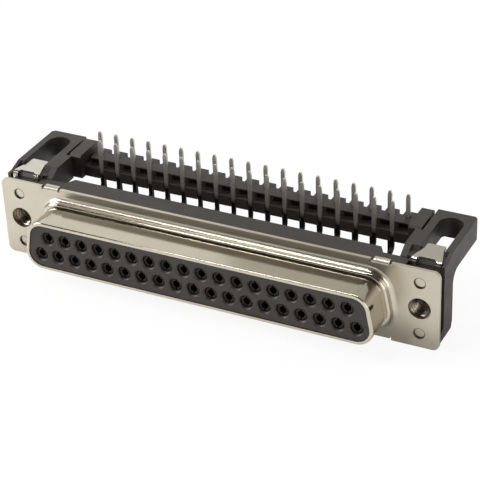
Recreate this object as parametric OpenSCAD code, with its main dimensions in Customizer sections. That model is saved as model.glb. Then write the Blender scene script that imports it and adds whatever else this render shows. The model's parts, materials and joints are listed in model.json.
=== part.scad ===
// Right-angle D-subminiature socket connector for a circuit board: two staggered rows of
// contacts in a drawn steel shell, with slotted board brackets and a comb for the tails.
// X runs along the rows, Y runs back from the mating face and Z points to the circuit board.
// The origin is midway between the two fixing holes, on the front face of the flange.

/* [Contacts] */
// Contacts in the wide row; the narrow row has one fewer
wide_row_count = 19; // [5:1:22]
// Distance between neighbouring contacts of a row
pitch = 2.77; // [2.7:0.01:3.2]
// Distance between the two rows at the mating face
row_spacing = 2.84; // [2.6:0.01:3]
// Outside diameter of the socket barrel
barrel_d = 1.7; // [1.5:0.05:1.75]
// Bore that takes the mating pin
socket_d = 1.05; // [0.95:0.05:1.2]
// Depth of the socket bore
socket_depth = 4.4; // [3.5:0.1:4.8]
// How far the barrel sits behind the face of the insulator
barrel_recess = 0.4; // [0.2:0.05:0.8]
// Width of the slit that lets the barrel spring
slit_w = 0.2; // [0.15:0.05:0.3]
// Length of that slit
slit_length = 3.2; // [2:0.1:4]
// Diameter of the collar that holds the contact in the insulators
collar_d = 2.1; // [1.95:0.05:2.2]
// Length of the collar
collar_length = 0.8; // [0.6:0.05:1]
// Width of the strip and its tail
strip_w = 0.62; // [0.5:0.02:0.7]
// Thickness of the strip and its tail
strip_t = 0.32; // [0.25:0.01:0.4]
// Inside radius of the bend towards the board
strip_bend_r = 0.8; // [0.4:0.05:1.2]
// Length of the tapered tip of a tail
tip_length = 0.5; // [0.3:0.05:0.8]
// Width at the end of the tip
tip_w = 0.34; // [0.2:0.02:0.45]
// How far the tails stand above the board seat
tail_protrusion = 2.6; // [2:0.1:4]
// Flange face to the front row of tails
board_row_y = 10.46; // [9.6:0.02:12]
// Distance between the two rows of tails
board_row_spacing = 2.54; // [2.4:0.02:3]

/* [Shell] */
// Sheet thickness of the shell
shell_t = 0.5; // [0.35:0.05:0.6]
// Height of the shroud
shroud_h = 7.9; // [7.7:0.05:8.4]
// Depth of the shroud in front of the flange
shroud_depth = 5.95; // [5.5:0.05:6.5]
// Widest point of the shroud beyond the last contact of the wide row
shroud_margin = 2.49; // [2.4:0.01:3]
// Slope of the two short sides of the D
d_angle = 10; // [5:1:15]
// Outside corner radius of the shroud
d_corner_r = 2.6; // [2.2:0.1:2.9]
// How far the drawn base stands out from the shroud
base_step = 0.55; // [0.4:0.05:0.7]
// Depth of the drawn base in front of the flange
base_depth = 1.2; // [1.1:0.05:1.6]
// Radius between the drawn base and the flange
base_fillet_r = 0.75; // [0.3:0.05:0.8]
// Radius of the bead along the front of the base
base_edge_r = 0.35; // [0.2:0.05:0.45]
// Rounding of the outer front edge of the shroud
mouth_edge_r = 0.2; // [0.1:0.05:0.3]
// Flange above and below the rear insulator, which its tabs fold over
flange_margin = 0.525; // [0.475:0.025:0.9]
// Corner radius of the flange
flange_corner_r = 1; // [0.5:0.1:2]
// Flange beyond the centre of each fixing hole
flange_end = 2.91; // [2.8:0.01:4]
// Widest point of the shroud to the centre of the fixing hole
hole_offset = 4.33; // [4.2:0.01:5]
// Diameter of the fixing holes
fixing_hole_d = 3.3; // [3:0.05:3.5]
// Diameter of the half-pierced locating dimples
dimple_d = 1.6; // [1.2:0.1:1.8]
// Height of the dimples above and below the fixing hole
dimple_z = 4.07; // [3.6:0.01:4.2]
// Depth of the dimples
dimple_depth = 0.25; // [0.15:0.05:0.3]
// Width of the tabs bent over the edges
tab_w = 2.3; // [1.6:0.1:3]
// Centre of a fixing hole to the centre of a tab
tab_offset = 5.65; // [5.4:0.05:6.5]
// Reach of a tab behind the flange face
tab_reach = 0.95; // [0.8:0.05:2]
// Width of the relief notch at each side of a tab
tab_relief_w = 0.4; // [0.2:0.05:0.8]
// Depth of the relief notches
tab_relief_h = 0.45; // [0.3:0.05:0.6]

/* [Insulators] */
// Clearance between fitted pieces
fit_gap = 0.05; // [0.02:0.01:0.08]
// Diameter of the contact cavities
cavity_d = 1.94; // [1.85:0.02:2.04]
// Lead-in chamfer of the cavities
cavity_chamfer = 0.2; // [0.1:0.05:0.3]
// How far the insulator face sits inside the mouth of the shroud
face_recess = 0.12; // [0:0.02:0.3]
// Height of the rear insulator
body_h = 11.5; // [11:0.05:11.6]
// Depth of the rear insulator's block behind the flange
body_depth = 3.85; // [3.2:0.05:5]
// Block beyond the last contact of the wide row
body_margin = 1.5; // [1.2:0.05:1.8]
// Height above the hole axis where the block narrows
body_step_z = 2.9; // [2.2:0.1:4]
// How far the block narrows at each end above that height
body_step = 1.2; // [0.6:0.05:2]
// Chamfer of the narrow part's rear corners, along the rows
corner_chamfer_x = 0.8; // [0.3:0.05:1.2]
// Chamfer of the narrow part's rear corners, towards the flange
corner_chamfer_y = 1.35; // [0.5:0.05:1.35]
// Thickness of the full-height plates beside the block
side_plate_t = 2.5; // [1.8:0.05:3]
// End of those plates to the hole axis
side_plate_end = 2.55; // [2.45:0.05:2.7]
// Thickness of the end plates under the grounding straps
end_plate_t = 1.6; // [1.2:0.05:2]
// Height of the end plates
end_plate_h = 10.4; // [10:0.05:11]
// Gap between an end plate and the rim of its bracket
end_plate_gap = 0.2; // [0.1:0.05:0.4]

/* [Grounding straps] */
// Sheet thickness of the straps
strap_t = 0.3; // [0.2:0.05:0.4]
// Width of a strap behind the flange
strap_w = 4.6; // [4.4:0.05:4.65]
// Width of a strap at its bend
strap_bend_w = 4.3; // [3.8:0.05:4.4]
// Height over which the strap narrows to the bend
strap_neck_h = 0.8; // [0.5:0.05:1.2]
// Inside bend radius
strap_bend_r = 0.35; // [0.25:0.05:0.45]
// Width of the tongue
tongue_w = 2.75; // [2.4:0.05:3]
// Length of the tongue behind the strap's front face
tongue_length = 4.45; // [4.2:0.05:5]
// Corner radius at the end of the tongue
tongue_corner_r = 0.25; // [0.1:0.05:0.5]
// Length of the taper from the bend to the tongue's width
shoulder_length = 2.6; // [2.2:0.05:2.8]
// Width of the window
window_w = 2.75; // [2.2:0.05:3]
// Height of the window's lower edge above the hole axis
window_z = 5.4; // [4.8:0.05:5.5]
// Reach of the window along the tongue
window_reach = 0.8; // [0.7:0.05:0.95]
// Corner radius of the window
window_corner_r = 0.4; // [0.2:0.05:0.6]
// Foot of the strap below the hole axis
strap_foot = 5.5; // [5:0.05:5.6]

/* [Brackets] */
// Height of the board seat above the hole axis
seat_z = 6.85; // [6.8:0.05:8]
// Inner side of the arm to the hole axis
bracket_inner = 3.05; // [2.9:0.05:3.1]
// Outer face of the bracket to the hole axis
bracket_outer = 2.87; // [2.85:0.01:2.9]
// Width of the wing between the arm and the contacts
wing_w = 1; // [0.7:0.05:1.2]
// Gap between the wing and the block of the comb
wing_gap = 0.4; // [0.2:0.05:0.8]
// Thickness of the rim outside the strap
rim_t = 0.5; // [0.4:0.05:0.5]
// Front edge of the rim behind the flange face
rim_front = 1.8; // [1.2:0.1:2]
// Depth below the hole axis where the rim runs forward to the flange
rim_step_z = 3.4; // [2:0.1:4]
// Height of the slant in the rim's front edge
rim_step_h = 0.8; // [0.4:0.1:1.5]
// Length of the ledge at the top front of the rim, level with the strap's tongue
rim_ledge = 1; // [0.5:0.1:2]
// Front edge of the board seat behind the flange face
seat_front = 4.8; // [4.2:0.05:5.2]
// Thickness of the leg behind the strap
leg_t = 3.15; // [2.8:0.05:3.4]
// Foot of the leg below the hole axis
leg_drop = 5.7; // [5.65:0.05:6.2]
// Height of the arm that carries the board
arm_h = 3.8; // [3.4:0.05:4.2]
// Radius under the arm
arm_fillet_r = 1.5; // [0.8:0.1:2]
// Arm beyond the back of the comb
arm_overhang = 0.5; // [0.2:0.05:1]
// Seat under the tongue, below the board seat
tongue_seat = 0.7; // [0.6:0.05:0.8]
// Length of the strap's recess behind the strap
recess_length = 2.1; // [1.9:0.05:2.2]
// Length of the slope at the back of the recess
recess_slope = 0.4; // [0.2:0.05:0.6]
// Width of the slot in the arm
slot_w = 3.6; // [3.45:0.05:3.8]
// Rear end of the slot to the back of the arm
slot_end = 1.45; // [1.2:0.05:2.5]
// Solid root of the arm behind the leg
slot_root = 0.25; // [0.1:0.05:0.6]
// Depth of the pocket under the arm
pocket_depth = 0.85; // [0.4:0.05:1.2]
// Pocket beyond the slot on each side
pocket_margin = 0.3; // [0.1:0.05:0.4]
// Bevel round the bracket's outer face
outer_bevel = 0.4; // [0.2:0.05:0.45]
// Bevel at the heel of the leg, upwards
heel_bevel_z = 1.4; // [0.5:0.05:1.8]
// Bevel at the heel of the leg, forwards
heel_bevel_y = 0.6; // [0.3:0.05:1]

/* [Tail locator] */
// Top of the comb below the board seat
comb_drop = 1.05; // [0.8:0.05:1.4]
// Ledge of the comb below its top
ledge_drop = 1.15; // [0.8:0.05:1.4]
// Underside of the comb below the board seat
comb_h = 3.85; // [3.5:0.05:4]
// Ledge in front of the front tails
ledge_lip = 0.21; // [0.18:0.01:0.4]
// Width of the ledge in front of the comb's bar
ledge_w = 0.9; // [0.8:0.05:1.2]
// Bar behind the rear tails
bar_back = 1.45; // [1.3:0.05:1.8]
// Width of a tooth at the back of the comb
tooth_w = 1.86; // [1.6:0.02:2]
// Depth of the notches between the teeth
notch_depth = 1.1; // [0.8:0.05:1.2]
// Clearance beside a tail in the comb
tail_gap = 0.09; // [0.05:0.01:0.15]
// Depth of the slots for the front tails
tail_slot_depth = 0.85; // [0.7:0.05:0.88]
// Width of the relief pockets between the front tails
bay_w = 1.5; // [1:0.05:1.6]
// Height of the relief pockets
bay_h = 0.7; // [0.4:0.05:0.8]
// Depth of the relief pockets
bay_depth = 0.7; // [0.4:0.05:1]
// Width of the blocks at the ends of the comb
block_w = 1.95; // [1.4:0.05:2]
// Bevel along the front of the blocks
block_bevel = 0.35; // [0.2:0.05:0.5]
// Length of those blocks in front of the front tails
block_lead = 1.21; // [0.8:0.05:1.5]
// Gap between a block and its arm
block_gap = 0.35; // [0.3:0.05:0.6]
// Height of the rails that slide into the arms
rail_h = 0.9; // [0.6:0.05:1.1]
// Depth of the grooves for the rails
rail_depth = 0.5; // [0.3:0.05:0.6]

/* [Threaded inserts] */
// Outside diameter of the inserts
insert_d = 3.3; // [3.2:0.05:3.4]
// Minor diameter of the thread
thread_minor_d = 2.3; // [2.1:0.02:2.4]
// Diameter of the lead-in at the mouth of the thread
lead_in_d = 3; // [2.8:0.05:3.2]
// Diameter of the collar behind the flange
insert_collar_d = 3.8; // [3.6:0.05:3.9]
// How far the insert stands out of the bracket
insert_stand = 0.3; // [0.1:0.05:0.5]

/* [Hidden] */
$fn = 48;
cut = 0.2;
contact_count = 2 * wide_row_count - 1;
function contact_name(i) = str("contact_", i < 10 ? "0" : "", i);

// Places along the rows
row_end = (wide_row_count - 1) / 2 * pitch;
shroud_half_w = row_end + shroud_margin;
hole_x = shroud_half_w + hole_offset;
tab_x = hole_x - tab_offset;
flange_w = 2 * (hole_x + flange_end);
flange_h = body_h + 2 * flange_margin;
arm_inner_x = hole_x - bracket_inner;
arm_outer_x = hole_x + bracket_outer;
wing_x = arm_inner_x - wing_w;
rim_x = arm_outer_x - rim_t;
plate_end_x = hole_x - side_plate_end;
block_outer_x = arm_inner_x - block_gap;

// Corner centres of the D, each with the angles where its arc starts and ends
d_low_x = shroud_half_w - d_corner_r;
d_mid_y = shroud_h / 2 - d_corner_r;
d_high_x = d_low_x - 2 * d_mid_y * tan(d_angle);
D_CORNERS = [
    [d_low_x, -d_mid_y, -90, d_angle],
    [d_high_x, d_mid_y, d_angle, 90],
    [-d_high_x, d_mid_y, 90, 180 - d_angle],
    [-d_low_x, -d_mid_y, 180 - d_angle, 270]
];
base_r = d_corner_r + base_step;

// Places from front to back
flange_back = shell_t;
end_plate_back = flange_back + end_plate_t;
side_plate_back = flange_back + side_plate_t;
strap_back = end_plate_back + strap_t;
leg_back = strap_back + leg_t;
body_back = flange_back + body_depth;
rear_row_y = board_row_y + board_row_spacing;
ledge_front = board_row_y - ledge_lip;
bar_front = ledge_front + ledge_w;
comb_back = rear_row_y + bar_back;
arm_back = comb_back + arm_overhang;
block_front = board_row_y - block_lead;

// Heights
comb_top = seat_z - comb_drop;
ledge_top = comb_top - ledge_drop;
comb_bottom = seat_z - comb_h;
arm_bottom = seat_z - arm_h;
rail_z = (arm_bottom + seat_z) / 2 - 0.25;
tongue_bottom = seat_z - tongue_seat;
tail_top = seat_z + tail_protrusion;
strip_mid_r = strip_bend_r + strip_t / 2;

tin = [0.73, 0.70, 0.63];
bright_tin = [0.85, 0.85, 0.83];
black_plastic = [0.15, 0.14, 0.13];
steel = [0.60, 0.58, 0.53];
contact_metal = [0.62, 0.60, 0.56];

// Turns a shape drawn facing up into one that faces the mating connector
module facing_front() {
    rotate([90, 0, 0]) children();
}

// Extrudes a side view, drawn in Y and Z, along X
module along_x(from, to) {
    translate([from, 0, 0]) rotate([90, 0, 90]) linear_extrude(to - from) children();
}

// Puts one copy at each end of the connector, the second one mirrored
module both_ends() {
    children();
    mirror([1, 0, 0]) children();
}

// The angle within 0.006 degrees of a whose sine and cosine, cut to six decimals, most nearly
// make a true turn, one that doesn't stretch what it carries
function true_turn(a) = let (
    tries = [for (k = [-100:100]) let (
        s = (round(sin(a) * 1e6) + k) / 1e6,
        c = sign(cos(a)) * round(sqrt(max(0, 1 - s * s)) * 1e6) / 1e6
    ) [abs(s * s + c * c - 1), atan2(s, c)]],
    least = min([for (t = tries) t[0]])
) [for (t = tries) if (t[0] == least) t[1]][0];

// Moves by a coarse step and then by its small remainder, so that no digit is lost
module fine_move(v) {
    coarse = [for (a = v) round(a * 100) / 100];
    translate(coarse) translate(v - coarse) children();
}

// Turns by a true turn near the angle and then by the little that is left of it
module fine_turn(a) {
    rest = a - true_turn(a);
    rotate([0, 0, true_turn(a)]) rotate([0, 0, rest - 360 * round(rest / 360)]) children();
}

// The straight side that follows a corner, drawn from Y = 0 to Y = d_stretch(i): one copy starts
// at each of its ends, and the two overlap in the middle
module from_both_corners(i) {
    this = D_CORNERS[i];
    next = D_CORNERS[(i + 1) % 4];
    fine_move([this[0], this[1]]) fine_turn(this[3]) children();
    fine_move([next[0], next[1]]) fine_turn(this[3]) translate([0, -d_stretch(i)]) children();
}

// Length of each of those two copies, in whole hundredths
function d_stretch(i) = ceil(60 * norm([
    D_CORNERS[(i + 1) % 4][0] - D_CORNERS[i][0],
    D_CORNERS[(i + 1) % 4][1] - D_CORNERS[i][1]
])) / 100;

// Rounded D outline, with r as the radius round the fixed corner centres
module d_shape(r) {
    reach = d_mid_y + 0.5;
    for (i = [0:3]) {
        fine_move([D_CORNERS[i][0], D_CORNERS[i][1]]) circle(r);
        from_both_corners(i) translate([-reach, 0]) square([r + reach, d_stretch(i)]);
    }
}

// Carries a wall section right round the D; the section's X is the radius of d_shape
module d_sweep() {
    for (i = [0:3]) {
        corner = D_CORNERS[i];
        fine_move([corner[0], corner[1]]) fine_turn(corner[2])
            rotate_extrude(angle = corner[3] - corner[2]) children();
        from_both_corners(i) translate([0, d_stretch(i)]) rotate([90, 0, 0])
            linear_extrude(d_stretch(i)) children();
    }
}

// Centre of each contact as X, Z and its tail's Y: the wide row first, then the narrow row
function contact_place(i) = i <= wide_row_count
    ? [(i - 1) * pitch - row_end, -row_spacing / 2, rear_row_y]
    : [(i - wide_row_count - 0.5) * pitch - row_end, row_spacing / 2, board_row_y];

// What is left of a square corner outside the quarter circle that rounds it
module spandrel(r) {
    difference() {
        square(r);
        circle(r);
    }
}

// Section of the drawn wall, from the flange out to the mouth
module shell_section() {
    inner_r = d_corner_r - shell_t;
    base_in = base_r - shell_t;
    difference() {
        union() {
            polygon([
                [base_in, -shell_t],
                [base_r + base_fillet_r, -shell_t],
                [base_r + base_fillet_r, 0],
                [base_r, 0],
                [base_r, base_depth],
                [d_corner_r, base_depth],
                [d_corner_r, shroud_depth],
                [inner_r, shroud_depth],
                [inner_r, base_depth - shell_t],
                [base_in, base_depth - shell_t]
            ]);
            translate([base_r + base_fillet_r, base_fillet_r]) rotate(180) spandrel(base_fillet_r);
        }
        translate([base_r - base_edge_r, base_depth - base_edge_r]) spandrel(base_edge_r);
        translate([d_corner_r - mouth_edge_r, shroud_depth - mouth_edge_r]) spandrel(mouth_edge_r);
    }
}

module flange_outline() {
    r = flange_corner_r;
    x = flange_w / 2;
    y = flange_h / 2;
    square([2 * x, 2 * (y - r)], center = true);
    square([2 * (x - r), 2 * y], center = true);
    for (sx = [-1, 1], sy = [-1, 1]) translate([sx * (x - r), sy * (y - r)]) circle(r);
}

// Tab bent from the flange's edge over the insulator
module shell_tab() {
    inner_r = fit_gap;
    outer_r = inner_r + shell_t;
    top = body_h / 2 + fit_gap + shell_t;
    along_x(tab_x - tab_w / 2, tab_x + tab_w / 2)
        translate([outer_r, top - outer_r - cut]) {
            difference() {
                translate([0, cut]) circle(outer_r);
                translate([0, cut]) circle(inner_r);
                translate([0, -outer_r]) square(2 * outer_r + cut);
                translate([-outer_r, cut - 2 * outer_r]) square(2 * outer_r);
            }
            translate([-outer_r, 0]) square([shell_t, cut]);
            translate([0, cut + inner_r]) square([tab_reach - outer_r, shell_t]);
        }
}

// Drawn shell: flange, stepped shroud, tabs and locating dimples in one sheet
module front_shell() {
    tab_root = flange_h / 2 - tab_relief_h;
    color(tin) {
        facing_front() difference() {
            union() {
                translate([0, 0, -shell_t]) linear_extrude(shell_t) difference() {
                    flange_outline();
                    d_shape(base_r);
                }
                d_sweep() shell_section();
                for (x = [-hole_x, hole_x], y = [-dimple_z, dimple_z])
                    translate([x, y, -shell_t - dimple_depth])
                        cylinder(h = shell_t, d = dimple_d);
            }
            for (x = [-hole_x, hole_x]) {
                translate([x, 0, -shell_t - cut])
                    cylinder(h = shell_t + 2 * cut, d = fixing_hole_d);
                for (y = [-dimple_z, dimple_z]) translate([x, y, -dimple_depth])
                    cylinder(h = dimple_depth + cut, d = dimple_d);
            }
            for (x = [-tab_x, tab_x], s = [-1, 1])
                translate([x, s * (tab_root + flange_h / 2), -shell_t / 2])
                    cube([tab_w + 2 * tab_relief_w, flange_h, shell_t + cut], center = true);
        }
        both_ends() {
            shell_tab();
            mirror([0, 0, 1]) shell_tab();
        }
    }
}

// Moulding that fills the shroud; the step of the shell traps its wider foot
module front_insulator() {
    face = shroud_depth - face_recess;
    color(black_plastic) facing_front() difference() {
        union() {
            translate([0, 0, -shell_t]) linear_extrude(base_depth - fit_gap)
                d_shape(base_r - shell_t - fit_gap);
            linear_extrude(face) d_shape(d_corner_r - shell_t - fit_gap);
        }
        for (i = [1:contact_count]) {
            place = contact_place(i);
            translate([place[0], place[1], 0]) {
                translate([0, 0, -shell_t - cut])
                    cylinder(h = face + shell_t + 2 * cut, d = cavity_d);
                translate([0, 0, -shell_t - cut])
                    cylinder(h = collar_length + cut, d = collar_d + 2 * fit_gap);
                translate([0, 0, face - cavity_chamfer]) cylinder(
                    h = cavity_chamfer,
                    d1 = cavity_d,
                    d2 = cavity_d + 2 * cavity_chamfer
                );
            }
        }
    }
}

// Outline of the rear insulator's upper block in X and Y, with chamfered rear corners
module block_outline() {
    x = row_end + body_margin - body_step;
    polygon([
        [-x, 0],
        [x, 0],
        [x, body_depth - corner_chamfer_y],
        [x - corner_chamfer_x, body_depth],
        [corner_chamfer_x - x, body_depth],
        [-x, body_depth - corner_chamfer_y]
    ]);
}

// Moulding behind the flange: block, side plates and end plates
module rear_insulator() {
    block_w = row_end + body_margin;
    end_x = rim_x - end_plate_gap;
    color(black_plastic) difference() {
        translate([0, flange_back, 0]) union() {
            translate([-block_w, 0, -body_h / 2])
                cube([2 * block_w, body_depth, body_h / 2 + body_step_z]);
            translate([0, 0, body_step_z]) linear_extrude(body_h / 2 - body_step_z)
                block_outline();
            translate([-plate_end_x, 0, -body_h / 2])
                cube([2 * plate_end_x, side_plate_t, body_h]);
            translate([-end_x, 0, -end_plate_h / 2])
                cube([2 * end_x, end_plate_t, end_plate_h]);
        }
        for (i = [1:contact_count]) {
            place = contact_place(i);
            translate([place[0], flange_back + body_depth / 2, place[1]])
                cube([strip_w + 2 * tail_gap, body_depth + 2 * cut, strip_t + 2 * tail_gap],
                    center = true);
        }
        for (x = [-hole_x, hole_x]) {
            translate([x, flange_back - cut, 0]) rotate([-90, 0, 0])
                cylinder(h = end_plate_t + 2 * cut, d = insert_collar_d + 2 * fit_gap);
            for (z = [-dimple_z, dimple_z])
                translate([x, flange_back - cut, z]) rotate([-90, 0, 0])
                    cylinder(h = dimple_depth + cut + 2 * fit_gap, d = dimple_d + 2 * fit_gap);
        }
    }
}

// Outline of the tongue and its shoulders, in X and Y
module tongue_outline() {
    bend_y = strap_back + strap_bend_r;
    end_y = end_plate_back + tongue_length;
    x = tongue_w / 2;
    r = tongue_corner_r;
    polygon([
        [-strap_bend_w / 2, bend_y],
        [strap_bend_w / 2, bend_y],
        [x, bend_y + shoulder_length],
        [x, end_y - r],
        [x - r, end_y],
        [r - x, end_y],
        [-x, end_y - r],
        [-x, bend_y + shoulder_length]
    ]);
    for (s = [-1, 1]) translate([s * (x - r), end_y - r]) circle(r);
}

// Outline of the plate behind the flange, in X and Z, with its neck below the bend
module strap_plate_outline(top) {
    x = strap_w / 2;
    neck_x = strap_bend_w / 2;
    polygon([
        [-x, -strap_foot],
        [x, -strap_foot],
        [x, top - strap_neck_h],
        [neck_x, top],
        [-neck_x, top],
        [-x, top - strap_neck_h]
    ]);
}

// Outline of the window seen from above, with its two rounded corners on the tongue
module window_outline() {
    far_y = end_plate_back + window_reach;
    x = window_w / 2;
    r = window_corner_r;
    translate([-x, end_plate_back - cut]) square([2 * x, window_reach + cut - r]);
    translate([r - x, end_plate_back - cut]) square([2 * (x - r), window_reach + cut]);
    for (s = [-1, 1]) translate([s * (x - r), far_y - r]) circle(r);
}

// Folded strap, drawn on the right-hand fixing hole
module grounding_strap() {
    bend_z = tongue_bottom - strap_bend_r;
    color(bright_tin) translate([hole_x, 0, 0]) difference() {
        union() {
            translate([0, strap_back, 0]) rotate([90, 0, 0]) linear_extrude(strap_t)
                strap_plate_outline(bend_z);
            translate([-strap_bend_w / 2, strap_back + strap_bend_r, bend_z])
                rotate([90, 0, 90]) rotate([0, 0, 90]) rotate_extrude(angle = 90)
                    translate([strap_bend_r, 0]) square([strap_t, strap_bend_w]);
            translate([0, 0, tongue_bottom]) linear_extrude(strap_t) tongue_outline();
        }
        translate([0, 0, window_z])
            linear_extrude(tongue_bottom + strap_t + cut - window_z) window_outline();
        translate([0, end_plate_back - cut, 0]) rotate([-90, 0, 0])
            cylinder(h = strap_t + 2 * cut, d = insert_d + 2 * fit_gap);
    }
}

// Side view of one thickness of a bracket, in Y and Z: front points from the top down to the
// foot, then the heel, the back of the leg, the fillet and the arm
module bracket_profile(front, back) {
    polygon(concat(front, [
        [leg_back - heel_bevel_y, -leg_drop],
        [leg_back, heel_bevel_z - leg_drop],
        [leg_back, arm_bottom],
        [back, arm_bottom],
        [back, seat_z]
    ]));
    difference() {
        translate([leg_back - cut, arm_bottom - arm_fillet_r])
            square(arm_fillet_r + cut);
        translate([leg_back + arm_fillet_r, arm_bottom - arm_fillet_r]) circle(arm_fillet_r);
    }
}

// Leg and arm, with the strap's recess
module bracket_core() {
    corner = strap_bend_r + 0.1;
    recess_back = strap_back + recess_length;
    along_x(arm_inner_x, rim_x) bracket_profile([
        [recess_back + recess_slope, seat_z],
        [recess_back, tongue_bottom],
        [strap_back + corner, tongue_bottom],
        [strap_back, tongue_bottom - corner],
        [strap_back, -leg_drop]
    ], arm_back);
}

// Wing beside the arm, sloping down to the insulator and ending at the comb's block
module bracket_wing() {
    along_x(wing_x, arm_inner_x) bracket_profile([
        [seat_front, seat_z],
        [side_plate_back + fit_gap, body_h / 2 + fit_gap],
        [side_plate_back + fit_gap, -leg_drop]
    ], block_front - wing_gap);
}

// Rim outside the strap, reaching forward to the flange near the foot
module bracket_rim() {
    foot_front = flange_back + fit_gap;
    along_x(rim_x, arm_outer_x) bracket_profile([
        [seat_front, seat_z],
        [rim_front + rim_ledge, tongue_bottom],
        [rim_front, tongue_bottom],
        [rim_front, -rim_step_z],
        [foot_front, -rim_step_z - rim_step_h],
        [foot_front, -leg_drop]
    ], arm_back);
}

// Bevel along one straight edge of the outer face, between two points in Y and Z
module edge_bevel(from, to, before, after) {
    run = to - from;
    translate([arm_outer_x, from[0], from[1]]) rotate([atan2(run[1], run[0]), 0, 0])
        translate([0, -before, 0]) rotate([-90, 0, 0])
            linear_extrude(norm(run) + before + after) polygon([
                [-outer_bevel - cut, cut],
                [cut, -outer_bevel - cut],
                [cut, cut]
            ]);
}

// Bevels round the heel, the leg, the fillet and the arm
module outer_bevels() {
    heel_low = [leg_back - heel_bevel_y, -leg_drop];
    heel_high = [leg_back, heel_bevel_z - leg_drop];
    b = outer_bevel;
    r = arm_fillet_r;
    edge_bevel([flange_back, -leg_drop], heel_low, 0, b);
    edge_bevel(heel_low, heel_high, b, b);
    edge_bevel(heel_high, [leg_back, arm_bottom - r], b, 0);
    edge_bevel([leg_back + r, arm_bottom], [arm_back, arm_bottom], 0, b);
    edge_bevel([arm_back, arm_bottom], [arm_back, seat_z], b, b);
    translate([0, leg_back + r, arm_bottom - r]) rotate([90, 0, 90]) rotate([0, 0, 90])
        rotate_extrude(angle = 90) polygon([
            [r - cut, arm_outer_x - b - cut],
            [r + b + cut, arm_outer_x + cut],
            [r - cut, arm_outer_x + cut]
        ]);
}

// Right-hand L bracket with its slotted arm
module bracket() {
    slot_front = leg_back + slot_root;
    slot_centre_y = arm_back - slot_end - slot_w / 2;
    pocket_w = slot_w + 2 * pocket_margin;
    color(black_plastic) difference() {
        union() {
            bracket_core();
            bracket_wing();
            bracket_rim();
        }
        outer_bevels();
        translate([hole_x - slot_w / 2, slot_front, arm_bottom - cut])
            cube([slot_w, slot_centre_y - slot_front, arm_h + 2 * cut]);
        translate([hole_x, slot_centre_y, arm_bottom - cut])
            cylinder(h = arm_h + 2 * cut, d = slot_w);
        translate([hole_x - slot_w / 2, strap_back + strap_bend_r, tongue_bottom])
            cube([slot_w, slot_front - strap_back, tongue_seat + cut]);
        translate([hole_x - pocket_w / 2, leg_back + arm_fillet_r, arm_bottom - cut])
            cube([pocket_w, arm_back - leg_back - arm_fillet_r - slot_end / 2, pocket_depth + cut]);
        translate([arm_inner_x - cut, block_front, rail_z - rail_h / 2 - fit_gap])
            cube([rail_depth + cut, arm_back - block_front + cut, rail_h + 2 * fit_gap]);
        translate([arm_inner_x - cut, strap_back - cut, -leg_drop - cut]) cube([
            plate_end_x + fit_gap - arm_inner_x + cut,
            side_plate_back + fit_gap - strap_back + cut,
            leg_drop + seat_z + 2 * cut
        ]);
        translate([hole_x, strap_back - cut, 0]) rotate([-90, 0, 0])
            cylinder(h = leg_t + 2 * cut, d = insert_d + 2 * fit_gap);
    }
}

// Comb that holds the tails: teeth at the back, slots at the front, a block at each end
module tail_locator() {
    tooth_end_x = row_end + tooth_w / 2;
    notch_w = pitch - tooth_w;
    slot_half_w = strip_w / 2 + tail_gap;
    bay_z = (comb_top + ledge_top) / 2;
    color(black_plastic) difference() {
        union() {
            along_x(-block_outer_x, block_outer_x)
                translate([ledge_front, comb_bottom])
                    square([comb_back - ledge_front, ledge_top - comb_bottom]);
            along_x(-tooth_end_x, tooth_end_x)
                translate([bar_front, comb_bottom])
                    square([comb_back - bar_front, comb_top - comb_bottom]);
            both_ends() {
                along_x(block_outer_x - block_w, block_outer_x) polygon([
                    [block_front, comb_bottom],
                    [comb_back, comb_bottom],
                    [comb_back, seat_z],
                    [block_front + block_bevel, seat_z],
                    [block_front, seat_z - block_bevel]
                ]);
                translate([block_outer_x - cut, block_front + fit_gap, rail_z - rail_h / 2])
                    cube([
                        cut + block_gap + rail_depth - fit_gap,
                        comb_back - block_front - fit_gap,
                        rail_h
                    ]);
            }
        }
        for (i = [1:wide_row_count - 1]) {
            x = contact_place(wide_row_count + i)[0];
            translate([x - notch_w / 2, comb_back - notch_depth, comb_bottom - cut])
                cube([notch_w, notch_depth + cut, comb_h]);
            translate([x - slot_half_w, ledge_front - cut, comb_bottom - cut])
                cube([2 * slot_half_w, tail_slot_depth + cut, comb_h]);
        }
        for (i = [1:wide_row_count]) {
            x = contact_place(i)[0];
            translate([x - slot_half_w, rear_row_y - strip_t / 2 - tail_gap, comb_bottom - cut])
                cube([2 * slot_half_w, strip_t + 2 * tail_gap, comb_h]);
            translate([x - bay_w / 2, bar_front - cut, bay_z - bay_h / 2])
                cube([bay_w, bay_depth + cut, bay_h]);
        }
    }
}

// Threaded insert behind the right-hand fixing hole, its collar trapped by the flange
module threaded_insert() {
    length = leg_back - flange_back + insert_stand;
    chamfer = (lead_in_d - thread_minor_d) / 2;
    color(steel) translate([hole_x, flange_back, 0]) rotate([-90, 0, 0]) difference() {
        union() {
            cylinder(h = length, d = insert_d);
            cylinder(h = end_plate_t, d = insert_collar_d);
        }
        translate([0, 0, -cut]) cylinder(h = length + 2 * cut, d = thread_minor_d);
        cylinder(h = chamfer, d1 = lead_in_d, d2 = thread_minor_d);
    }
}

// Socket barrel with its bore, slit and collar, facing the mating connector
module socket_barrel() {
    front = shroud_depth - face_recess - barrel_recess;
    collar_front = collar_length - shell_t;
    difference() {
        union() {
            translate([0, 0, collar_front - cut])
                cylinder(h = front - collar_front + cut, d = barrel_d);
            translate([0, 0, -shell_t]) cylinder(h = collar_length, d = collar_d);
        }
        translate([0, 0, front - socket_depth]) cylinder(h = socket_depth + cut, d = socket_d);
        translate([-slit_w / 2, -barrel_d, front - slit_length])
            cube([slit_w, 2 * barrel_d, slit_length + cut]);
    }
}

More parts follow.
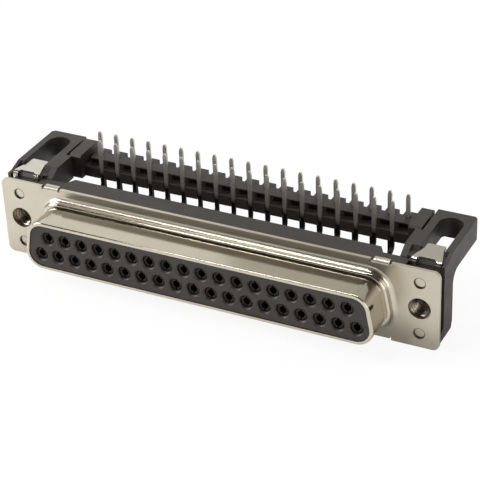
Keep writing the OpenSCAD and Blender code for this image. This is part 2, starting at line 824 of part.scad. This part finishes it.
// Tail outline in X and Z, from the end of the bend to the tapered tip
module tail_outline(low) {
    polygon([
        [-strip_w / 2, low],
        [strip_w / 2, low],
        [strip_w / 2, tail_top - tip_length],
        [tip_w / 2, tail_top],
        [-tip_w / 2, tail_top],
        [-strip_w / 2, tail_top - tip_length]
    ]);
}

// One stamped contact: barrel, strip, bend and tail
module contact(i) {
    place = contact_place(i);
    z = place[1];
    tail_y = place[2];
    bend_y = tail_y - strip_mid_r;
    color(contact_metal) translate([place[0], 0, 0]) {
        translate([0, 0, z]) facing_front() socket_barrel();
        translate([-strip_w / 2, flange_back - cut, z - strip_t / 2])
            cube([strip_w, bend_y - flange_back + cut, strip_t]);
        translate([-strip_w / 2, bend_y, z + strip_mid_r])
            rotate([90, 0, 90]) rotate([0, 0, -90]) rotate_extrude(angle = 90)
                translate([strip_bend_r, 0]) square([strip_t, strip_w]);
        translate([0, tail_y + strip_t / 2, 0]) rotate([90, 0, 0])
            linear_extrude(strip_t) tail_outline(z + strip_mid_r);
    }
}

front_shell();
front_insulator();
rear_insulator();
tail_locator();
mirror([1, 0, 0]) bracket();  // bracket_left
bracket();  // bracket_right
mirror([1, 0, 0]) grounding_strap();  // grounding_strap_left
grounding_strap();  // grounding_strap_right
mirror([1, 0, 0]) threaded_insert();  // threaded_insert_left
threaded_insert();  // threaded_insert_right
for (i = [1:contact_count])
    contact(i);
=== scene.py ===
"""Looks of a right-angle D-shaped socket connector with board brackets."""

import json
import math

import bmesh
import bpy
from mathutils import Matrix, Vector


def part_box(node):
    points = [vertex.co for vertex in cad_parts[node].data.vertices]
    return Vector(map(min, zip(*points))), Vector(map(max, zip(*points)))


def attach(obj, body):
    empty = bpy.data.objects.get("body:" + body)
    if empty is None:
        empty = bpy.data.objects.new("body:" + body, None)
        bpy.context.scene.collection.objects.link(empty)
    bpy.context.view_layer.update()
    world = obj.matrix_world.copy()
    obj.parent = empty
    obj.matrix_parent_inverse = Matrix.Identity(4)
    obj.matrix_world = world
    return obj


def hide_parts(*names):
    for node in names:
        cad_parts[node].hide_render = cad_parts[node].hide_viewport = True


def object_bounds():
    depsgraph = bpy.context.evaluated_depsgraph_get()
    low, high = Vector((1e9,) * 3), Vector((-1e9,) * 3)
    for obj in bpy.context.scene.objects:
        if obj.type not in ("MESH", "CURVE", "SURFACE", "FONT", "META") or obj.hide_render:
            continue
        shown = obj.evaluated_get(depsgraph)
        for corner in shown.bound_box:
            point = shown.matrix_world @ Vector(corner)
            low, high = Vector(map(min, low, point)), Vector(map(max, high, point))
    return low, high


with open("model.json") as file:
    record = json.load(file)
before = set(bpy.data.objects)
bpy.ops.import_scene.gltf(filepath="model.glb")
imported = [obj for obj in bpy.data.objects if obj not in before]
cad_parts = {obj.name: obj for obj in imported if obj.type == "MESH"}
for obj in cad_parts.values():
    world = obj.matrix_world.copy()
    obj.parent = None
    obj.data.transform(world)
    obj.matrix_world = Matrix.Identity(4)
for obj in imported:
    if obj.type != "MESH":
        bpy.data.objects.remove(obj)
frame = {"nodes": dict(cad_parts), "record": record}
cad_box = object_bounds()
MM = 0.001

# Thread of the inserts: 4-40, with 40 turns to the inch
THREAD_PITCH = 25.4 / 40 * MM
THREAD_MINOR_R = 1.15 * MM
THREAD_MAJOR_R = 1.42 * MM
# Of each half pitch, the shares of the flat crest and of the flank
CREST_SHARE = 0.12
FLANK_SHARE = 0.72
LEAD_IN_R = 1.5 * MM
COLLAR_LENGTH = 1.6 * MM
BODY_R = 1.65 * MM

# Half-pierced dimples of the flange: the place of one, which the others mirror, the radius,
# and how far the ring of painted shade reaches to either side of it
DIMPLE_PLACE = (31.75 * MM, 0, 4.07 * MM)
DIMPLE_R = 0.8 * MM
DIMPLE_SHADE_HALF_WIDTH = 0.09 * MM

# Share of the floor that the camera sees as even white, the rest being lit paper
FLOOR_GLOW = 0.9

# The camera looks at the middle of the view from this far away
CAMERA_TARGET = Vector((4.85, 0, 4.63)) * MM
CAMERA_DISTANCE = 248.5 * MM
CAMERA_AZIMUTH = math.radians(27.66)
CAMERA_ELEVATION = math.radians(31.42)
CAMERA_ROLL = math.radians(-2.70)
CAMERA_LENS = 133.05


def linear(code):
    """An sRGB hex colour as linear RGBA."""
    values = [int(code[i : i + 2], 16) / 255 for i in (1, 3, 5)]
    return [v / 12.92 if v <= 0.04045 else ((v + 0.055) / 1.055) ** 2.4 for v in values] + [1]


def add_node(tree, kind, sockets=(), **settings):
    """Adds a node with its settings; each socket takes a value or another node's output.

    A colour Mix node is filled by number: 0 the factor, 6 and 7 the colours, output 2.
    """
    node = tree.nodes.new("ShaderNode" + kind)
    for name, value in settings.items():
        setattr(node, name, value)
    for socket, value in dict(sockets).items():
        if isinstance(value, bpy.types.NodeSocket):
            tree.links.new(value, node.inputs[socket])
        else:
            node.inputs[socket].default_value = value
    return node


def new_tree(name):
    """A new material with an empty node tree."""
    material = bpy.data.materials.new(name)
    material.use_nodes = True
    material.node_tree.nodes.clear()
    return material, material.node_tree


def show(tree, shader):
    """Makes a shader the surface of its material."""
    add_node(tree, "OutputMaterial", {"Surface": shader})


def drawn_tin_steel():
    """Bright tin on deep-drawn steel: satin on the flat flange, burnished where the die drew it."""
    material, tree = new_tree("tin plate, drawn")
    place = add_node(tree, "TexCoord").outputs["Object"]
    depth = add_node(tree, "SeparateXYZ", {0: place}).outputs["Y"]
    # The wall stands in front of the sheet, so its smoothing starts 0.1 to 0.6 mm ahead of it
    drawn = add_node(
        tree, "MapRange", {"Value": depth, "From Min": -0.1 * MM, "From Max": -0.6 * MM}
    ).outputs["Result"]
    # Draw marks 0.35 mm apart run front to back down the wall
    stretched = add_node(
        tree, "Mapping", {"Vector": place, "Scale": (1 / (0.35 * MM), 1 / (6 * MM), 1 / (0.35 * MM))}
    ).outputs["Vector"]
    marks = add_node(tree, "TexNoise", {"Vector": stretched, "Scale": 1, "Detail": 2}).outputs["Fac"]
    # Orange peel of the plating, 0.25 mm, coarser than the real grain so that it shows
    peel = add_node(
        tree, "TexNoise", {"Vector": place, "Scale": 1 / (0.25 * MM), "Detail": 3}
    ).outputs["Fac"]
    cloud = add_node(
        tree, "TexNoise", {"Vector": place, "Scale": 1 / (5 * MM), "Detail": 2}
    ).outputs["Fac"]
    tone = add_node(
        tree,
        "Mix",
        {0: cloud, 6: linear("#C9C2B4"), 7: linear("#B9B2A4")},
        data_type="RGBA",
    ).outputs[2]
    grain = add_node(tree, "Mix", {"Factor": drawn, "A": peel, "B": marks}).outputs["Result"]
    satin = add_node(
        tree, "MapRange", {"Value": grain, "To Min": 0.26, "To Max": 0.38}
    ).outputs["Result"]
    burnished = add_node(
        tree, "MapRange", {"Value": grain, "To Min": 0.08, "To Max": 0.15}
    ).outputs["Result"]
    rough = add_node(tree, "Mix", {"Factor": drawn, "A": satin, "B": burnished}).outputs["Result"]
    # Painted shade: a dark ring, 0.18 mm wide, round the sheared rim of each half-pierced dimple,
    # where the rim falls in shade
    from_dimple = add_node(
        tree,
        "VectorMath",
        {
            0: add_node(tree, "VectorMath", {0: place}, operation="ABSOLUTE").outputs["Vector"],
            1: DIMPLE_PLACE,
        },
        operation="SUBTRACT",
    ).outputs["Vector"]
    flat = add_node(
        tree, "VectorMath", {0: from_dimple, 1: (1, 0, 1)}, operation="MULTIPLY"
    ).outputs["Vector"]
    reach = add_node(tree, "VectorMath", {0: flat}, operation="LENGTH").outputs["Value"]
    ring = add_node(
        tree, "Math", {0: reach, 1: DIMPLE_R, 2: DIMPLE_SHADE_HALF_WIDTH}, operation="COMPARE"
    ).outputs["Value"]
    tone = add_node(
        tree, "Mix", {0: ring, 6: tone, 7: linear("#6E675C")}, data_type="RGBA"
    ).outputs[2]
    bump = add_node(
        tree, "Bump", {"Height": grain, "Strength": 0.12, "Distance": 0.01 * MM}
    ).outputs["Normal"]
    shader = add_node(
        tree,
        "BsdfPrincipled",
        {"Base Color": tone, "Metallic": 1, "Roughness": rough, "Normal": bump},
    )
    show(tree, shader.outputs["BSDF"])
    return material


def stamped_tin(name, light, dark, smooth, dull, painted_shade=None):
    """Tin on stamped and folded strip: rolling lines 0.2 mm apart and a patchy gloss.

    Given a shade colour, the sockets and the strip below the comb are painted that colour: painted
    shade for the shade in the socket holes and under the comb, so they hardly shine.
    """
    material, tree = new_tree(name)
    place = add_node(tree, "TexCoord").outputs["Object"]
    lines = add_node(
        tree, "Mapping", {"Vector": place, "Scale": (1 / (0.2 * MM), 1 / (3 * MM), 1 / (3 * MM))}
    ).outputs["Vector"]
    rolled = add_node(tree, "TexNoise", {"Vector": lines, "Scale": 1, "Detail": 2}).outputs["Fac"]
    patches = add_node(
        tree, "TexNoise", {"Vector": place, "Scale": 1 / (1.5 * MM), "Detail": 2}
    ).outputs["Fac"]
    tone = add_node(
        tree,
        "Mix",
        {0: patches, 6: linear(light), 7: linear(dark)},
        data_type="RGBA",
    ).outputs[2]
    rough = add_node(
        tree, "MapRange", {"Value": patches, "To Min": smooth, "To Max": dull}
    ).outputs["Result"]
    if painted_shade:
        # Painted shade: the socket ends in front of the flange and the strip below the comb are mixed
        # to the dark shade colour
        split = add_node(tree, "SeparateXYZ", {0: place})
        in_front = add_node(
            tree, "MapRange", {"Value": split.outputs["Y"], "From Min": 0, "From Max": -2 * MM}
        ).outputs["Result"]
        low = add_node(
            tree,
            "MapRange",
            {"Value": split.outputs["Z"], "From Min": 4.6 * MM, "From Max": 3.6 * MM},
        ).outputs["Result"]
        painted_shade_share = add_node(
            tree, "Math", {0: in_front, 1: low}, operation="MAXIMUM"
        ).outputs["Value"]
        tone = add_node(
            tree, "Mix", {0: painted_shade_share, 6: tone, 7: linear(painted_shade)}, data_type="RGBA"
        ).outputs[2]
    bump = add_node(
        tree, "Bump", {"Height": rolled, "Strength": 0.15, "Distance": 0.01 * MM}
    ).outputs["Normal"]
    shader = add_node(
        tree,
        "BsdfPrincipled",
        {"Base Color": tone, "Metallic": 1, "Roughness": rough, "Normal": bump},
    )
    show(tree, shader.outputs["BSDF"])
    return material


def moulded_black_plastic():
    """Glass-filled polyester, moulded: charcoal, with a fine spark-eroded matt surface."""
    material, tree = new_tree("glass-filled polyester, moulded")
    place = add_node(tree, "TexCoord").outputs["Object"]
    # Spark erosion leaves pits of about 0.05 mm; 0.15 mm is drawn so that they show
    pits = add_node(
        tree, "TexNoise", {"Vector": place, "Scale": 1 / (0.15 * MM), "Detail": 3}
    ).outputs["Fac"]
    flow = add_node(
        tree, "TexNoise", {"Vector": place, "Scale": 1 / (3 * MM), "Detail": 3}
    ).outputs["Fac"]
    tone = add_node(
        tree,
        "Mix",
        {0: flow, 6: linear("#2C2521"), 7: linear("#221C19")},
        data_type="RGBA",
    ).outputs[2]
    rough = add_node(
        tree, "MapRange", {"Value": flow, "To Min": 0.42, "To Max": 0.58}
    ).outputs["Result"]
    # Moulded edges have a radius of about 0.08 mm
    edge = add_node(tree, "Bevel", {"Radius": 0.08 * MM}, samples=4).outputs["Normal"]
    bump = add_node(
        tree,
        "Bump",
        {"Height": pits, "Strength": 0.25, "Distance": 0.01 * MM, "Normal": edge},
    ).outputs["Normal"]
    shader = add_node(
        tree,
        "BsdfPrincipled",
        {"Base Color": tone, "Roughness": rough, "IOR": 1.5, "Normal": bump},
    )
    show(tree, shader.outputs["BSDF"])
    return material


def turned_nickel_steel():
    """Nickel on turned steel: tool rings 0.5 mm apart across the axis."""
    material, tree = new_tree("nickel plate, turned")
    place = add_node(tree, "TexCoord").outputs["Object"]
    # The wave repeats after 2 pi times 0.08 mm
    rings = add_node(
        tree,
        "TexWave",
        {"Vector": place, "Scale": 1 / (0.08 * MM) / 20, "Distortion": 1},
        bands_direction="Y",
    ).outputs["Fac"]
    rough = add_node(
        tree, "MapRange", {"Value": rings, "To Min": 0.22, "To Max": 0.32}
    ).outputs["Result"]
    shader = add_node(
        tree,
        "BsdfPrincipled",
        {"Base Color": linear("#857C70"), "Metallic": 1, "Roughness": rough},
    )
    show(tree, shader.outputs["BSDF"])
    return material


def dress_nodes(finishes):
    """Gives each CAD node the finish of its material slot."""
    for part in frame["record"]["subparts"]:
        mesh = frame["nodes"][part["node"]].data
        mesh.materials.clear()
        mesh.materials.append(finishes[part["material_slot"]])


def thread_radius(angle, y):
    """Radius of the internal thread, whose flanks stand about 80 degrees apart."""
    phase = (y / THREAD_PITCH - angle / math.tau) % 1
    height = 1 - abs(2 * phase - 1)
    flat = min(max((height - CREST_SHARE) / FLANK_SHARE, 0), 1)
    return THREAD_MINOR_R + (THREAD_MAJOR_R - THREAD_MINOR_R) * flat


def threaded_insert(side, finish):
    """The insert with a cut thread, in place of the plain-bored solid."""
    node = "threaded_insert_" + side
    low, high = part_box(node)
    axis_x = (low.x + high.x) / 2
    collar_r = (high.x - low.x) / 2
    front, back = low.y, high.y
    around = 64
    steps = 120
    lead_in = LEAD_IN_R - THREAD_MINOR_R

    def bore(angle, y):
        cone = LEAD_IN_R - (y - front)
        exit_cone = THREAD_MAJOR_R - (back - y)
        if y - front < lead_in:
            return max(cone, thread_radius(angle, y))
        return max(thread_radius(angle, y), exit_cone)

    outside = [(BODY_R, back), (BODY_R, front + COLLAR_LENGTH)]
    outside += [(collar_r, front + COLLAR_LENGTH), (collar_r, front)]
    angles = [math.tau * k / around for k in range(around)]
    rings = []
    for i in range(steps + 1):
        y = front + (back - front) * i / steps
        rings.append([(angle, bore(angle, y), y) for angle in angles])
    for r, y in outside:
        rings.append([(angle, r, y) for angle in angles])

    vertices = []
    for ring in rings:
        for angle, r, y in ring:
            vertices.append((axis_x + r * math.cos(angle), y, r * math.sin(angle)))
    faces = []
    for i in range(len(rings)):
        this, following = i * around, (i + 1) % len(rings) * around
        for k in range(around):
            n = (k + 1) % around
            faces.append((this + k, following + k, following + n, this + n))
    mesh = bpy.data.meshes.new(node + "_tapped")
    mesh.from_pydata(vertices, [], faces)
    mesh.validate()
    mesh.materials.append(finish)
    piece = bpy.data.objects.new(node + "_tapped", mesh)
    bpy.context.scene.collection.objects.link(piece)
    recalculate_normals(mesh)
    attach(piece, "root")
    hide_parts(node)


def recalculate_normals(mesh):
    """Turns every face outwards."""
    work = bmesh.new()
    work.from_mesh(mesh)
    bmesh.ops.recalc_face_normals(work, faces=work.faces)
    work.to_mesh(mesh)
    work.free()


def pale_floor(height):
    """White paper sweep: bright to the camera, and it keeps the shadow."""
    material, tree = new_tree("white paper, matt")
    path = add_node(tree, "LightPath")
    seen = add_node(
        tree, "Math", {0: path.outputs["Is Camera Ray"], 1: FLOOR_GLOW}, operation="MULTIPLY"
    ).outputs["Value"]
    paper = add_node(tree, "BsdfDiffuse", {"Color": linear("#F4F3F1")}).outputs["BSDF"]
    glow = add_node(tree, "Emission", {"Color": linear("#FFFFFF"), "Strength": 1}).outputs[0]
    show(tree, add_node(tree, "MixShader", {0: seen, 1: paper, 2: glow}).outputs[0])
    half = 1500 * MM
    mesh = bpy.data.meshes.new("floor")
    corners = [(-half, -half), (half, -half), (half, half), (-half, half)]
    mesh.from_pydata([(x, y, height) for x, y in corners], [], [(0, 1, 2, 3)])
    mesh.materials.append(material)
    floor = bpy.data.objects.new("floor", mesh)
    bpy.context.scene.collection.objects.link(floor)


def studio_world():
    """White sweep towards the horizon, a dim ceiling for the metal to mirror, brighter on the left."""
    world = bpy.data.worlds.new("studio")
    bpy.context.scene.world = world
    world.use_nodes = True
    tree = world.node_tree
    tree.nodes.clear()
    path = add_node(tree, "LightPath")
    direction = add_node(tree, "TexCoord").outputs["Generated"]
    split = add_node(tree, "SeparateXYZ", {0: direction})
    ceiling = add_node(
        tree, "MapRange", {"Value": split.outputs["Z"], "From Min": 0.12, "From Max": 0.5}
    ).outputs["Result"]
    # The window side keeps the ceiling light
    shaded = add_node(
        tree,
        "MapRange",
        {"Value": split.outputs["X"], "From Min": -0.7, "From Max": -0.2, "To Min": 0.45},
    ).outputs["Result"]
    ceiling = add_node(
        tree, "Math", {0: ceiling, 1: shaded}, operation="MULTIPLY"
    ).outputs["Value"]
    mirrored = add_node(
        tree,
        "Mix",
        {0: ceiling, 6: linear("#FFFFFF"), 7: linear("#C6C4B8")},
        data_type="RGBA",
    ).outputs[2]
    # Above the camera the room is dark
    above = add_node(
        tree, "MapRange", {"Value": split.outputs["Z"], "From Min": 0.05, "From Max": 0.35}
    ).outputs["Result"]
    ahead = add_node(
        tree, "MapRange", {"Value": split.outputs["Y"], "From Min": 0.45, "From Max": 0.1}
    ).outputs["Result"]
    dark = add_node(tree, "Math", {0: above, 1: ahead}, operation="MULTIPLY").outputs["Value"]
    mirrored = add_node(
        tree, "Mix", {0: dark, 6: mirrored, 7: linear("#3B372D")}, data_type="RGBA"
    ).outputs[2]
    ambient = add_node(tree, "Background", {"Color": linear("#FFFFFF"), "Strength": 0.45})
    room = add_node(tree, "Background", {"Color": mirrored, "Strength": 1})
    backdrop = add_node(tree, "Background", {"Color": linear("#FFFFFF"), "Strength": 1})
    shiny = add_node(
        tree,
        "Math",
        {0: path.outputs["Is Glossy Ray"], 1: path.outputs["Is Transmission Ray"]},
        operation="MAXIMUM",
    ).outputs["Value"]
    unseen = add_node(tree, "MixShader", {0: shiny, 1: ambient.outputs[0], 2: room.outputs[0]})
    all_rays = add_node(
        tree,
        "MixShader",
        {0: path.outputs["Is Camera Ray"], 1: unseen.outputs[0], 2: backdrop.outputs[0]},
    )
    add_node(tree, "OutputWorld", {"Surface": all_rays.outputs[0]})


def softbox(name, direction, distance, width, height, power):
    """A flat lamp that faces the connector; power sets its brightness."""
    lamp = bpy.data.lights.new(name, "AREA")
    lamp.shape = "RECTANGLE"
    lamp.size, lamp.size_y = width, height
    lamp.energy = power
    piece = bpy.data.objects.new(name, lamp)
    towards = Vector(direction).normalized()
    piece.location = towards * distance
    piece.rotation_mode = "QUATERNION"
    piece.rotation_quaternion = towards.to_track_quat("Z", "Y")
    bpy.context.scene.collection.objects.link(piece)


def place_camera():
    """Stands the camera at its distance from the target, rolled a little about its view."""
    azimuth, elevation, roll = CAMERA_AZIMUTH, CAMERA_ELEVATION, CAMERA_ROLL
    back = Vector(
        (
            math.sin(azimuth) * math.cos(elevation),
            -math.cos(azimuth) * math.cos(elevation),
            math.sin(elevation),
        )
    )
    right = Vector((math.cos(azimuth), math.sin(azimuth), 0))
    up = back.cross(right)
    turned_right = right * math.cos(roll) + up * math.sin(roll)
    turned_up = up * math.cos(roll) - right * math.sin(roll)
    camera = bpy.data.objects.new("camera", bpy.data.cameras.new("camera"))
    camera.data.lens = CAMERA_LENS
    camera.data.sensor_width = 36
    camera.data.clip_start, camera.data.clip_end = 10 * MM, 10
    turn = Matrix((turned_right, turned_up, back)).transposed().to_4x4()
    camera.matrix_world = Matrix.Translation(CAMERA_TARGET + back * CAMERA_DISTANCE) @ turn
    bpy.context.scene.collection.objects.link(camera)
    bpy.context.scene.camera = camera


insert_finish = turned_nickel_steel()
dress_nodes(
    {
        "shell_tin": drawn_tin_steel(),
        "black_plastic": moulded_black_plastic(),
        "strap_tin": stamped_tin("tin plate, bright strip", "#CFCCC5", "#BCB9B2", 0.12, 0.26),
        "contact_tin": stamped_tin(
            "tin plate, dull strip", "#D3D0C8", "#B9B6AE", 0.42, 0.55, painted_shade="#33302D"
        ),
        "insert_steel": insert_finish,
    }
)
for side in ("left", "right"):
    threaded_insert(side, insert_finish)

pale_floor(cad_box[0].z)
studio_world()
softbox("key", (-0.85, -0.3, 0.5), 500 * MM, 260 * MM, 260 * MM, 2.0)
softbox("fill", (0.85, -0.45, 0.3), 550 * MM, 300 * MM, 300 * MM, 0.8)
softbox("strip", (-0.2, 0.1, 0.97), 500 * MM, 900 * MM, 30 * MM, 1.5)
# A near card brightens the left end and the middle of the shroud's top
softbox("card", (-0.62, 0.63, 0.46), 145 * MM, 75 * MM, 75 * MM, 0.0065)
place_camera()
bpy.context.scene.view_settings.view_transform = "Standard"
